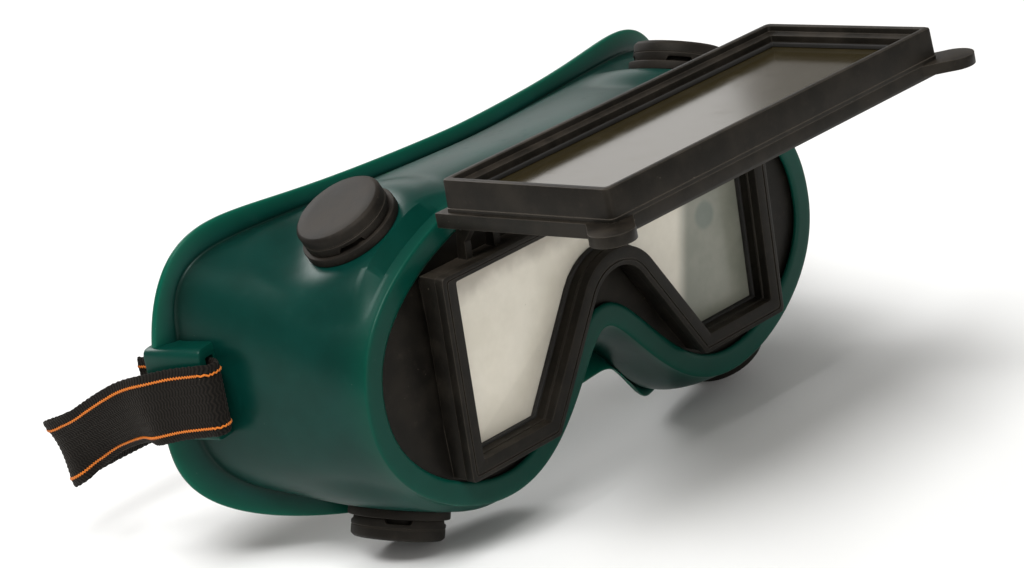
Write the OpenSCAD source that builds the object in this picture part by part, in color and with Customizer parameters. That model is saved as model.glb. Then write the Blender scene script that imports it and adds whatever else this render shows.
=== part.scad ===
// Welding goggles with a flip-up shade, built as an assembly.
// Frame: +Z up, the wearer looks along -Y, +X is the wearer's left.
// The origin is the middle of the face seal, level with the window's centre.

/* [Window] */
// Width of the fixed window frame
window_w = 114; // [108:1:118]
// Height of the fixed window frame
window_h = 50; // [48:1:54]
// Distance from the face seal's middle forward to the window frame's front
window_reach = 45; // [42:1:50]
// Width of the frame around the clear lens
rim_w = 4.5; // [3.5:0.1:5.5]
// Top of the nose arch above the window's centre
arch_top = 7.2; // [4:0.1:9]
// Radius of the nose arch
arch_r = 10; // [8:0.5:12]
// Lean of the nose arch's legs from upright, in degrees
arch_lean = 33.6; // [28:0.1:38]
// Thickness of the clear lens
lens_t = 2; // [1.5:0.1:3]

/* [Flip-up shade] */
// Width of the flip-up box
flip_w = 116; // [110:1:120]
// Depth of the flip-up box's walls
flip_d = 7.7; // [6:0.1:10]
// Thickness of the flip-up base plate
flip_plate_t = 3.4; // [2:0.1:4]
// Angle the shade is raised by from closed, in degrees
flip_raised = 94; // [60:1:100]
// Thickness of the dark filter plate
filter_t = 3; // [2:0.1:3.2]
// Diameter of the hinge pins
pin_d = 2.2; // [2:0.1:2.6]
// Distance of each hinge from the middle
hinge_x = 38.8; // [30:0.1:42]
// Radius of the finger tabs
tab_r = 5.25; // [4:0.05:6]

/* [Soft body] */
// Half width of the front lip
lip_a = 79.4; // [78:0.1:84]
// Half width of the face flange
flange_a = 92.8; // [90:0.1:96]
// Wall thickness of the soft body
wall_t = 2; // [1.6:0.1:2.4]
// Width of the front lip's band
lip_band = 5.7; // [5.5:0.1:6.5]

/* [Vents] */
// Diameter of a vent's base ring
vent_ring_d = 24; // [23:0.5:26]
// Diameter of a vent's cap
vent_cap_d = 22; // [20:0.5:23]
// Diameter of the hole under a vent
vent_hole_d = 15.3; // [12:0.1:16]

/* [Strap] */
// Width of the elastic headband
strap_w = 17.3; // [16:0.1:18]
// Thickness of the elastic headband
strap_t = 1.3; // [1:0.1:1.5]

/* [Hidden] */

gap = 0.05;                  // clearance between fitted pieces
front_y = -window_reach;     // plane of the window frame's front
bezel_t = 2.4;
seat_in = 2.1;                // wall of the housing round the lens
seat_rise = 0.5;              // the same wall is thinner along the top
rim_rise = 2.2;               // the window frame is narrower along the top
skirt_d = 2.7;                // how far the bezel's skirt runs back into the housing
seal_t = 1.3;
seal_y = front_y + bezel_t + skirt_d + gap;
lens_y = seal_y + seal_t + gap;
ledge_y = lens_y + lens_t + gap;
plate_y = front_y + 8.2;     // front of the housing's oval plate at mid height
plate_t = 2.1;
box_step_y = plate_y - 0.8;   // where the box's corners pass behind the soft lip
lip_tilt = 3.4;              // the lip's plane leans back, in degrees
lip_y = front_y + 6.6;       // front of the soft lip at mid height
lip_t = 1.55;
bead_y = plate_y + plate_t + 0.1 - lip_y;    // the bead behind the oval plate
bead_t = 1.6;
bead_w = 5;

// Flip-up shade, in its closed place
flip_gap = 0.3;
flip_back = front_y - flip_gap;
flip_mid = flip_back - flip_plate_t;
flip_front = flip_mid - flip_d;
flip_h = window_h;
tray_wall = 2;
plate_top = 2.6;             // the base plate stands out past the box on its hinge side
tray_ledge = 2.2;
tray_recess = 1.6;           // depth of the front recess inside the tray's rim
seat_inset = tray_wall + 0.6;     // edge of the cover plate's seat
plate_inset = tray_wall + 0.8;    // edge of the filter, its seal and the cover plate
cover_seat_d = 1.2;          // depth of the cover plate's seat in the base plate
seal_w = 1.9;                // width of the filter's seal
filter_back = flip_mid + cover_seat_d;
hinge_y = front_y + 3.2;
hinge_z = window_h / 2 + 9.4;
pin_r = pin_d / 2;
knuckle_w = 7;
post_w = 2;
post_r = 2.5;
post_foot = 3;               // depth of a post where it leaves the housing
knuckle_r = post_r - 0.2;
hinge_bore_l = 24;           // length of the bore cut through a hinge
pin_head_t = 1.3;
pin_head_r = pin_r + 0.8;
tab_out = 1.8;               // tab centre beyond the base plate's free edge
tab_t = 2.6;
tab_side = 2.7;              // and beyond the box's side

// ---- curves of the soft body --------------------------------------------

UP_STEPS = 34;
LOW_STEPS = 44;
ANGLES = concat(
    [for (i = [0:UP_STEPS - 1]) 180 * i / UP_STEPS],
    [for (i = [0:LOW_STEPS - 1]) let (t = -1 + 2 * i / LOW_STEPS)
        270 + 90 * sign(t) * pow(abs(t), 1.5)]);

function spow(v, e) = sign(v) * pow(abs(v), e);

// A nose notch: height h, half width w, rounded over about 4 mm at its top
function notch(x, h, w, p, r) =
    h * exp(-(pow(x * x + r * r, p / 2) - pow(r, p)) / pow(w, p));

// A rounded oval [x, z] with half width a, top zt, bottom zb and the exponents n
// above and below, a brow that rises towards the temples as [height, power, fall], a
// nose notch and the depth of the lobe beside it. Every oval has its points at the
// same shares of its width.
LIP_N = 2.22;
lip_low_n = 2.15;
lip_top = 40.8;
lip_bottom = -43.6;
crease_a = flange_a - 5.5;
crease_top = 33.8;
crease_bottom = -36.8;
flange_top = 37.2;
flange_bottom = -40.3;
crease_y = -12.3;             // the crease's and the flange edge's depth at the middle
edge_y = -12;
wrap_depth = 27.4;            // how far the flange runs back to the temples
wrap_power = 1.7;
wrap_slope = 0.35;            // how far back for each millimetre up
wrap_turn = 0.36;             // and how much less of that towards the temples
flange_t = 1.8;
lobe_x = 36;                  // middle and half width of the lobe beside the nose notch
lobe_w = 13;
bulge_h = 2.5;                // how far the tube's wall bows out halfway along it
bulge_nose_x = 24;            // and it fades out towards the nose inside this half width
function oval(a, zt, zb, n, brow, nose, lobe, ang) = let (
    share = abs(cos(ang)) < 1e-9 ? 0 : spow(cos(ang), 2 / LIP_N),
    x = a * share,
    up = sin(ang) >= 0,
    e = up ? n[0] : n[1],
    rise = pow(max(0, 1 - pow(abs(share), e)), 1 / e),
    z = (zt + zb) / 2 + (zt - zb) / 2 * (up ? rise : -rise))
    [x, z + (up ? brow[0] * pow(abs(share), brow[1]) * pow(rise, brow[2])
        : notch(x, nose[0], nose[1], nose[2], nose[3])
            - lobe * exp(-pow((abs(x) - lobe_x) / lobe_w, 2)))];

// The three ovals of the body: the lip's edge, the crease at the flange's root and
// the flange's edge. A nose notch is [height, half width, power, rounding].
function lip_xz(ang) =
    oval(lip_a, lip_top, lip_bottom, [LIP_N, lip_low_n], [0, 1, 1], [34.7, 21.8, 1.4, 4], 0, ang);
function crease_xz(ang) =
    oval(crease_a, crease_top, crease_bottom, [4.2, 3.2], [9.8, 5.5, 1], [17, 21, 4, 2], 3, ang);
function edge_xz(ang) =
    oval(flange_a, flange_top, flange_bottom, [3.5, 3.6], [26.5, 4.4, 2.7], [11.5, 25, 9, 0],
        2.5, ang);

// Unit normal of a curve, pointing to the body's inside
function inward(c0, c1) = let (d = c1 - c0, n = norm(d)) [-d[1] / n, d[0] / n];
function lip_in(ang) = inward(lip_xz(ang - 1), lip_xz(ang + 1));
function crease_in(ang) = inward(crease_xz(ang - 1), crease_xz(ang + 1));

// The face flange wraps back round the temples
function wrap_y(x, z, y0) = let (t = abs(x) / flange_a)
    y0 + wrap_depth * pow(t, wrap_power) + wrap_slope * z - wrap_turn * z * t * t;

function lip_pt(ang, inset, dy) = let (p = lip_xz(ang) + inset * lip_in(ang))
    [p[0], lip_y + dy + p[1] * tan(lip_tilt), p[1]];
function crease_pt(ang, inset, dy) = let (c = crease_xz(ang), p = c + inset * crease_in(ang))
    [p[0], wrap_y(c[0], c[1], crease_y) + dy, p[1]];
function edge_pt(ang, dy) = let (p = edge_xz(ang))
    [p[0], wrap_y(p[0], p[1], edge_y) + dy, p[1]];
// How far the wall bows out halfway along the tube
function bulge(ang) = let (p = lip_xz(ang))
    bulge_h * (1 - pow(abs(p[0]) / lip_a, 4))
        * (sin(ang) >= 0 ? 1 : 1 - exp(-pow(p[0] / bulge_nose_x, 4)));
// A point of the tube between the lip (s = 0) and the crease (s = 1)
function tube_pt(ang, s, inset) = let (n = lip_in(ang), out = 4 * s * (1 - s) * bulge(ang))
    (1 - s) * lip_pt(ang, inset, 1) + s * crease_pt(ang, inset, 0) - out * [n[0], 0, n[1]];

// One cross-section of the body wall, from the lip's edge round to its back
function body_section(a) = [
    lip_pt(a, lip_band, 0), lip_pt(a, 1, 0), lip_pt(a, 0.15, 0.4), lip_pt(a, 0, 1),
    tube_pt(a, 0.3, 0), tube_pt(a, 0.6, 0), tube_pt(a, 0.85, 0), crease_pt(a, 0, 0),
    edge_pt(a, 0), edge_pt(a, flange_t),
    crease_pt(a, wall_t, wall_t), tube_pt(a, 0.8, wall_t), tube_pt(a, 0.55, wall_t),
    lip_pt(a, wall_t, bead_y + bead_t + 0.2), lip_pt(a, bead_w, bead_y + bead_t),
    lip_pt(a, bead_w, bead_y),
    lip_pt(a, wall_t + 0.2, bead_y), lip_pt(a, wall_t + 0.2, lip_t),
    lip_pt(a, lip_band, lip_t)];

module soft_shell() {
    rings = [for (a = ANGLES) body_section(a)];
    n = len(ANGLES);
    m = len(rings[0]);
    polyhedron(
        points = [for (r = rings) for (p = r) p],
        faces = [for (i = [0:n - 1]) for (j = [0:m - 1]) let (
            a = i * m + j, b = i * m + (j + 1) % m,
            c = ((i + 1) % n) * m + (j + 1) % m, d = ((i + 1) % n) * m + j)
            each [[a, c, b], [a, d, c]]],
        convexity = 8);
}

// ---- vents --------------------------------------------------------------

vent_x = 57.5;
vent_y = -19.5;
vent_top_z = 33.6;
vent_bottom_z = -34.8;
vent_pad_t = 3.6;
vent_nut_d = 21;
vent_seat_h = 8;              // depth of the spot faces cut round a vent
vent_lean_top = -7;           // lean of a vent towards the back, in degrees
vent_lean_bottom = 4;
vent_turn_top = 25;           // and towards its side
vent_turn_bottom = 22;
vent_ring_h = 2.2;
vent_neck_h = 4.6;
vent_cap_z = 2.35;            // from the base ring up to the cap's skirt
vent_cap_h = 4.3;
vent_bevel = 0.7;
vent_wall = 1.6;
vent_slot_w = 6;              // the cap's four air slots
vent_slot_h = 1.15;
vent_nut_h = 1.9;
vent_spigot_h = 6.2;          // the base's spigot through the wall and the nut

// Place a vent: side is +1 for the wearer's left, level is +1 for the top
module at_vent(side, level) {
    translate([side * vent_x, vent_y, level > 0 ? vent_top_z : vent_bottom_z])
        rotate([level > 0 ? vent_lean_top : 180 - vent_lean_bottom, 0, 0])
            rotate([0, side * (level > 0 ? vent_turn_top : vent_turn_bottom), 0])
                children();
}

module vent_base(side, level) {
    color("#2b2926") at_vent(side, level) difference() {
        union() {
            translate([0, 0, gap]) cylinder(d = vent_ring_d, h = vent_ring_h, $fn = 72);
            translate([0, 0, gap]) cylinder(d = vent_cap_d - 4, h = vent_neck_h, $fn = 72);
            translate([0, 0, -vent_spigot_h])
                cylinder(d = vent_hole_d - 2 * gap, h = vent_spigot_h + 1, $fn = 72);
        }
        translate([0, 0, -vent_spigot_h - 1])
            cylinder(d = vent_hole_d - 2 * vent_wall, h = 2 * vent_spigot_h + 2, $fn = 72);
    }
}

module vent_cap(side, level) {
    color("#2d2b29") at_vent(side, level) difference() {
        union() {
            translate([0, 0, vent_cap_z]) cylinder(d = vent_cap_d, h = vent_cap_h, $fn = 72);
            translate([0, 0, vent_cap_z + vent_cap_h])
                cylinder(d1 = vent_cap_d, d2 = vent_cap_d - 2 * vent_bevel, h = vent_bevel, $fn = 72);
        }
        translate([0, 0, 1])
            cylinder(d = vent_cap_d - 2 * vent_wall, h = vent_neck_h - 0.1, $fn = 72);
        for (k = [0:3]) rotate([0, 0, 45 + 90 * k])
            translate([-vent_slot_w / 2, 0, vent_cap_z - 1])
                cube([vent_slot_w, vent_cap_d, vent_slot_h + 1]);
    }
}

module vent_nut(side, level) {
    color("#24221f") at_vent(side, level)
        translate([0, 0, -vent_pad_t - vent_nut_h - 0.1]) difference() {
        cylinder(d = vent_nut_d, h = vent_nut_h, $fn = 72);
        translate([0, 0, -1]) cylinder(d = vent_hole_d + 0.1, h = 4, $fn = 72);
        for (k = [0:2]) rotate([0, 0, 120 * k])
            translate([vent_nut_d / 2 - 1.5, -1, -1]) cube([3, 2, 4]);
    }
}

// ---- strap lugs ---------------------------------------------------------

lug_x = 87.1;
lug_y = 10.2;
lug_z = 1.4;
lug_turn = 10.2;
lug_droop = 4;
lug_slot_h = strap_w + 1.2;
lug_plate_n = 3.4;
lug_plate_t = 2.1;
lug_len = 16.5;
lug_bar = 2.6;
lug_root = 1.4;               // how far the lug starts inside the body's wall
slot_n = 0.5;                 // the slot's inner face, out from the wall

// Local frame of a lug: +X out of the body's side, +Y back along it
module at_lug(side) {
    mirror([side > 0 ? 0 : 1, 0, 0])
        translate([lug_x, lug_y, lug_z])
            rotate([0, 0, -lug_turn]) rotate([-lug_droop, 0, 0])
                children();
}

module lug(side) {
    at_lug(side) difference() {
        translate([-lug_root, -lug_len / 2, -lug_slot_h / 2 - lug_bar])
            cube([lug_plate_n + lug_plate_t + lug_root, lug_len, lug_slot_h + 2 * lug_bar]);
        translate([slot_n, -lug_len, -lug_slot_h / 2])
            cube([lug_plate_n - slot_n, 2 * lug_len, lug_slot_h]);
    }
}

// The way of the strap's tail through the flange behind a lug
module lug_passage(side) {
    at_lug(side)
        translate([slot_n, 0, -lug_slot_h / 2])
            cube([lug_plate_n - slot_n, lug_len + 4, lug_slot_h]);
}

module soft_body() {
    color("#12524a") difference() {
        union() {
            soft_shell();
            for (side = [-1, 1]) for (level = [-1, 1])
                at_vent(side, level)
                    translate([0, 0, -vent_pad_t])
                        cylinder(d = vent_ring_d + 1, h = vent_pad_t, $fn = 64);
            for (side = [-1, 1]) lug(side);
        }
        for (side = [-1, 1]) for (level = [-1, 1])
            at_vent(side, level) {
                translate([0, 0, -vent_pad_t - 4])
                    cylinder(d = vent_hole_d, h = vent_pad_t + 8, $fn = 64);
                // flat seats for the nut inside and the base ring outside
                translate([0, 0, -vent_pad_t - vent_seat_h])
                    cylinder(d = vent_nut_d + 0.8, h = vent_seat_h, $fn = 64);
                cylinder(d = vent_ring_d + 0.6, h = vent_seat_h, $fn = 64);
            }
        for (side = [-1, 1]) lug_passage(side);
    }
}

// ---- fixed window -------------------------------------------------------

ARC = 10;

// Outline of the window frame, moved in by i on every side and its top raised by rise
function window_outline(i, rise) = let (
    hw = window_w / 2 - i,
    top = window_h / 2 - i + rise,
    bottom = -window_h / 2 + i,
    r = arch_r + i,
    cz = arch_top - arch_r,
    tx = r * cos(arch_lean),
    tz = cz + r * sin(arch_lean),
    foot = tx + (tz - bottom) * tan(arch_lean))
    concat(
        [[-hw, bottom], [-foot, bottom]],
        [for (k = [0:ARC]) let (a = 180 - arch_lean - k * (180 - 2 * arch_lean) / ARC)
            [r * cos(a), cz + r * sin(a)]],
        [[foot, bottom], [hw, bottom], [hw, top], [-hw, top]]);

// A slab of an outline, from y0 back to y1
module slab(y0, y1) {
    translate([0, y1, 0]) rotate([90, 0, 0]) linear_extrude(height = y1 - y0) children();
}

module window_shape(i, rise = 0) { polygon(window_outline(i, rise)); }

module front_bezel() {
    color("#262422") difference() {
        union() {
            slab(front_y, front_y + bezel_t) window_shape(0);
            slab(front_y + 1, front_y + bezel_t + skirt_d)
                window_shape(seat_in + gap, seat_rise);
        }
        slab(front_y - 1, lens_y) window_shape(rim_w, rim_rise);
    }
}

module lens_seal() {
    color("#171615") slab(seal_y, seal_y + seal_t) difference() {
        window_shape(seat_in + 2 * gap, seat_rise);
        window_shape(rim_w + 0.6, rim_rise);
    }
}

module clear_lens() {
    color("#d8d6cf", 0.35) slab(lens_y, lens_y + lens_t)
        window_shape(seat_in + 2 * gap, seat_rise);
}

// The oval plate's outline, seated in the soft lip's groove
module plate_shape() {
    polygon([for (a = ANGLES) lip_xz(a) + (wall_t + 0.3) * lip_in(a)]);
}

module hinge_post(x) {
    foot_y = hinge_y + 0.6;
    foot_z = window_h / 2 - 1.2;
    translate([x - post_w / 2, 0, 0]) rotate([90, 0, 90]) linear_extrude(height = post_w)
        polygon([[foot_y, foot_z], [foot_y + post_foot, foot_z],
            [hinge_y + post_r, hinge_z], [hinge_y - post_r, hinge_z],
            [hinge_y - post_r, hinge_z - 1.5], [foot_y, hinge_z - 5.5]]);
    translate([x - post_w / 2, hinge_y, hinge_z]) rotate([0, 90, 0])
        cylinder(r = post_r, h = post_w, $fn = 48);
}

module hinge_bore(s) {
    translate([s * hinge_x - hinge_bore_l / 2, hinge_y, hinge_z]) rotate([0, 90, 0])
        cylinder(r = pin_r + gap, h = hinge_bore_l, $fn = 40);
}

module front_housing() {
    color("#282522") difference() {
        union() {
            // oval plate, leaning with the lip
            translate([0, plate_y, 0]) rotate([-lip_tilt, 0, 0]) slab(0, plate_t) plate_shape();
            // box walls in front of the plate, stepped in where the lip hugs their corners
            slab(front_y + bezel_t + gap, box_step_y) window_shape(0.4);
            slab(box_step_y, plate_y + 1.6) window_shape(2);
            for (s = [-1, 1]) for (k = [-1, 1])
                hinge_post(s * hinge_x + k * (knuckle_w + post_w + 0.4) / 2);
        }
        // seat for the lens and its seal, and the opening behind the ledge
        slab(front_y - 1, ledge_y) window_shape(seat_in, seat_rise);
        slab(ledge_y - 0.1, plate_y + 12) window_shape(rim_w + 0.9, rim_rise);
        for (s = [-1, 1])
            hinge_bore(s);
    }
}

// ---- flip-up shade ------------------------------------------------------

// Turns closed pieces up to the raised rest pose
module raised() {
    translate([0, hinge_y, hinge_z]) rotate([-flip_raised, 0, 0])
        translate([0, -hinge_y, -hinge_z]) children();
}

module box_shape(i) { square([flip_w - 2 * i, flip_h - 2 * i], center = true); }

module tab_shape(s) {
    translate([s * (flip_w / 2 + tab_side), -flip_h / 2 - tab_out]) circle(r = tab_r, $fn = 48);
    // neck from the tab's centre in under the plate's corner
    translate([s * (flip_w / 2 + tab_side), -flip_h / 2 - tab_out]) rotate(90 + s * 45)
        translate([0, -tab_r + 0.1]) square([8, 2 * tab_r - 0.2]);
}

module knuckle(x) {
    edge_z = flip_h / 2 + plate_top / 2;
    translate([x - knuckle_w / 2, 0, 0]) rotate([90, 0, 90]) linear_extrude(height = knuckle_w)
        polygon([[flip_mid + 0.4, edge_z - 1], [flip_back - 0.4, edge_z - 1],
            [flip_back - 0.4, edge_z + 2], [hinge_y + 1.2, hinge_z - 1.9],
            [hinge_y - 1.2, hinge_z + 1.9], [flip_mid + 0.4, edge_z + 3.4]]);
    translate([x - knuckle_w / 2, hinge_y, hinge_z]) rotate([0, 90, 0])
        cylinder(r = knuckle_r, h = knuckle_w, $fn = 48);
}

module flip_base() {
    color("#2b2825") raised() difference() {
        union() {
            slab(flip_mid, flip_back) translate([0, plate_top / 2])
                square([flip_w + 1.6, flip_h + plate_top], center = true);
            slab(flip_mid, flip_mid + tab_t) for (s = [-1, 1]) tab_shape(s);
            for (s = [-1, 1]) knuckle(s * hinge_x);
        }
        // window behind the filter
        slab(flip_mid - 1, flip_back + 1) box_shape(tray_wall + tray_ledge + 1);
        // shallow seat for the clear cover plate
        slab(flip_mid - 1, filter_back) box_shape(seat_inset);
        for (s = [-1, 1])
            hinge_bore(s);
    }
}

module filter_cover_plate() {
    color("#cfd2c8", 0.4) raised()
        slab(flip_mid - 0.1, filter_back - gap) box_shape(plate_inset);
}

module shade_filter() {
    color("#1d2a1c", 0.9) raised()
        slab(flip_mid - 0.15 - filter_t, flip_mid - 0.15) box_shape(plate_inset);
}

module filter_seal() {
    color("#151413") raised()
        slab(flip_mid - 1.25 - filter_t, flip_mid - 0.2 - filter_t) difference() {
            box_shape(plate_inset);
            box_shape(plate_inset + seal_w);
        }
}

module flip_tray() {
    color("#2a2725") raised() difference() {
        slab(flip_front, flip_mid - gap) box_shape(0);
        slab(flip_mid - 1.3 - filter_t, flip_mid + 1) box_shape(tray_wall);
        slab(flip_front - 1, flip_mid) box_shape(tray_wall + tray_ledge);
        slab(flip_front - 1, flip_front + tray_recess) box_shape(tray_wall);
    }
}

module hinge_pin(s) {
    len_all = 2 * post_w + knuckle_w + 0.4;
    color("#8d8f90") translate([s * hinge_x, hinge_y, hinge_z]) rotate([0, 90, 0]) {
        translate([0, 0, -len_all / 2 - 0.3]) cylinder(r = pin_r, h = len_all + 0.6, $fn = 40);
        translate([0, 0, s * (len_all / 2 + pin_head_t / 2 + 0.1) - pin_head_t / 2])
            cylinder(r = pin_head_r, h = pin_head_t, $fn = 40);
    }
}

// ---- headband -----------------------------------------------------------

// Half of the band's middle line from the sewn tail to the back's middle:
// [x, y, z of the middle line, lean of the band's width in degrees]
BAND_HALF = [
    [-91.1, 22.6, 0.5, 0], [-89.8, 15.8, 1, 0], [-88.8, 9.9, 1.4, 0], [-87.7, 4, 1.8, 0],
    [-87.3, 1.7, 2, 0], [-87.7, -0.2, 2.1, 1], [-89.3, -1.2, 2.2, 2], [-91.2, -0.9, 2.1, 1],
    [-92.2, 0.8, 2, 0], [-94.2, 9, 0.6, 0], [-96.2, 16.8, -1.4, -3],
    [-95, 26.2, -4.6, -23], [-95.2, 34.8, -8.6, -32], [-96.8, 42, -12.6, -28],
    [-97.6, 47.6, -15.8, -18], [-95, 52, -18.2, -10], [-89, 54.6, -19.2, -4],
    [-77, 55.5, -19.4, 0], [-50, 55.5, -19.4, 0]];
BAND_STEPS = len(BAND_HALF);
BAND = concat(BAND_HALF,
    [for (i = [0:BAND_STEPS - 1]) let (p = BAND_HALF[BAND_STEPS - 1 - i])
        [-p[0], p[1], p[2], p[3]]]);

function unit(v) = v / norm(v);
function band_xyz(i) = [BAND[i][0], BAND[i][1], BAND[i][2]];
function band_dir(i) = unit(band_xyz(min(i + 1, len(BAND) - 1)) - band_xyz(max(i - 1, 0)));
// Width direction: upright, leaned about the way the band runs
function band_up(i) = let (d = band_dir(i), u = unit([0, 0, 1] - d * d[2]), s = cross(d, u))
    u * cos(BAND[i][3]) + s * sin(BAND[i][3]);
function band_section(i) = let (c = band_xyz(i), u = band_up(i),
    n = cross(band_dir(i), u), w = strap_w / 2, t = strap_t / 2)
    [c + u * w + n * t, c - u * w + n * t, c - u * w - n * t, c + u * w - n * t];

module headband() {
    n = len(BAND);
    color("#211f1d") polyhedron(
        points = [for (i = [0:n - 1]) each band_section(i)],
        faces = concat(
            [for (i = [0:n - 2]) for (j = [0:3]) let (
                a = i * 4 + j, b = i * 4 + (j + 1) % 4, c = b + 4, d = a + 4)
                each [[a, c, b], [a, d, c]]],
            [[0, 2, 3], [0, 1, 2]],
            [let (k = (n - 1) * 4) each [[k, k + 2, k + 1], [k, k + 3, k + 2]]]),
        convexity = 8);
}

slider_at = [30, 55.5, -19.4];
slider_len = 11;
slider_depth = 6.4;
module strap_slider() {
    color("#2b2926") translate(slider_at) difference() {
        cube([slider_len, slider_depth, strap_w + 6], center = true);
        cube([slider_len + 1, strap_t + 1, strap_w + 1], center = true);
    }
}

// ---- assembly -----------------------------------------------------------

soft_body();
front_housing();
lens_seal();
clear_lens();
front_bezel();
flip_base();
flip_tray();
shade_filter();
filter_cover_plate();
filter_seal();
hinge_pin(-1);  // hinge_pin_right
hinge_pin(1);  // hinge_pin_left
vent_base(-1, 1);  // vent_base_top_right
vent_base(1, 1);  // vent_base_top_left
vent_base(-1, -1);  // vent_base_bottom_right
vent_base(1, -1);  // vent_base_bottom_left
vent_cap(-1, 1);  // vent_cap_top_right
vent_cap(1, 1);  // vent_cap_top_left
vent_cap(-1, -1);  // vent_cap_bottom_right
vent_cap(1, -1);  // vent_cap_bottom_left
vent_nut(-1, 1);  // vent_nut_top_right
vent_nut(1, 1);  // vent_nut_top_left
vent_nut(-1, -1);  // vent_nut_bottom_right
vent_nut(1, -1);  // vent_nut_bottom_left
headband();
strap_slider();
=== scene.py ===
"""Welding goggles with a flip-up shade: the looks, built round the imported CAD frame.

Lengths in this file are millimetres in the frame's axes (+X the wearer's left, +Y towards
the face, +Z up) until a mesh or a material turns them into metres.
"""
import math

import bpy
from mathutils import Matrix, Vector
from mathutils.kdtree import KDTree


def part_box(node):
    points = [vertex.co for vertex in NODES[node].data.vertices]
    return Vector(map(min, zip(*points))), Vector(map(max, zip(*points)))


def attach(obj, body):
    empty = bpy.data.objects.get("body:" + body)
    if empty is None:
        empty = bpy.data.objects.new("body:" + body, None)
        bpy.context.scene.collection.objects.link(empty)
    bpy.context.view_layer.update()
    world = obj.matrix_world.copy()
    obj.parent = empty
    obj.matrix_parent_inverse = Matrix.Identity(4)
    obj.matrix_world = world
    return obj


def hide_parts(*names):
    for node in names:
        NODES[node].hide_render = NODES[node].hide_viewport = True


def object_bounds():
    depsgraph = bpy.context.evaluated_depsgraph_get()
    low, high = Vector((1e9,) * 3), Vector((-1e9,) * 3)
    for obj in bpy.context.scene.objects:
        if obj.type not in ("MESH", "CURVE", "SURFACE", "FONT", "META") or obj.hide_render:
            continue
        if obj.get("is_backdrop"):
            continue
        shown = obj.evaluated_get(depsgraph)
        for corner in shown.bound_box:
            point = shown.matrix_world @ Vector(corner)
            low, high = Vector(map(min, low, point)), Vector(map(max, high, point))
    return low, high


MM = 0.001
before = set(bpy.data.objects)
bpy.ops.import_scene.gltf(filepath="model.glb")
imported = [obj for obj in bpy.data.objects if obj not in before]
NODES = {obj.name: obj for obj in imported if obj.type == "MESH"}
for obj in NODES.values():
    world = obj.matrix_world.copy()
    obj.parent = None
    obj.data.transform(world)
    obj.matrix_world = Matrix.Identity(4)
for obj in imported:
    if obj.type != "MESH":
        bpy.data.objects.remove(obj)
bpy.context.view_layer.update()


# ---- meshes --------------------------------------------------------------

def link_mesh(name, points, faces, material, smooth_angle=35):
    """A new mesh object from points in millimetres."""
    mesh = bpy.data.meshes.new(name)
    mesh.from_pydata([Vector(p) * MM for p in points], [], faces)
    mesh.validate()
    mesh.materials.append(material)
    soften(mesh, smooth_angle)
    obj = bpy.data.objects.new(name, mesh)
    bpy.context.scene.collection.objects.link(obj)
    return obj


def soften(mesh, angle):
    """Smooth shading, with a sharp edge where faces meet at more than the angle."""
    mesh.polygons.foreach_set("use_smooth", [True] * len(mesh.polygons))
    mesh.set_sharp_from_angle(angle=math.radians(angle))


def grid_faces(rows, columns, close_rows=True, close_columns=True):
    """Quads between the points of a grid that is stored row by row."""
    faces = []
    for i in range(rows if close_rows else rows - 1):
        for j in range(columns if close_columns else columns - 1):
            a, b = i * columns, (i + 1) % rows * columns
            k = (j + 1) % columns
            faces.append((a + j, a + k, b + k, b + j))
    return faces


def rounded(profile, radii, steps=3):
    """A closed profile with an arc at each corner of its radius. Points are pairs."""
    if not isinstance(radii, (list, tuple)):
        radii = [radii] * len(profile)
    out = []
    count = len(profile)
    for i, (corner, radius) in enumerate(zip(profile, radii)):
        here = Vector(corner)
        if radius <= 0:
            out.append(here)
            continue
        to_last = (Vector(profile[i - 1]) - here)
        to_next = (Vector(profile[(i + 1) % count]) - here)
        half = to_last.angle(to_next) / 2
        run = min(radius / math.tan(half), 0.49 * to_last.length, 0.49 * to_next.length)
        start = here + to_last.normalized() * run
        end = here + to_next.normalized() * run
        for k in range(steps + 1):
            t = k / steps
            out.append(start * (1 - t) ** 2 + here * 2 * t * (1 - t) + end * t * t)
    return out


def sweep(outline_at, profile):
    """Carries a closed profile of (inset, depth) round a closed outline.

    outline_at(inset) gives the outline's (x, z) points, the same number for every inset.
    """
    insets = {round(p[0], 5): outline_at(round(p[0], 5)) for p in profile}
    count = len(next(iter(insets.values())))
    points = [(insets[round(inset, 5)][i][0], depth, insets[round(inset, 5)][i][1])
              for i in range(count) for inset, depth in profile]
    return points, grid_faces(count, len(profile))


def dress(node, material, bevel=0.25, segments=2, angle=30):
    """Gives a CAD node its material and rounds its edges. A bevel of 0 leaves it flat."""
    obj = NODES[node]
    obj.data.materials.clear()
    obj.data.materials.append(material)
    obj.data.polygons.foreach_set("use_smooth", [bevel > 0] * len(obj.data.polygons))
    weld = obj.modifiers.new("weld", "WELD")
    weld.merge_threshold = 0.01 * MM
    if bevel:
        edge = obj.modifiers.new("rounded_edges", "BEVEL")
        edge.width = bevel * MM
        edge.segments = segments
        edge.limit_method = "ANGLE"
        edge.angle_limit = math.radians(angle)
        edge.use_clamp_overlap = True
        edge.harden_normals = True
    return obj


# ---- materials -----------------------------------------------------------

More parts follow.
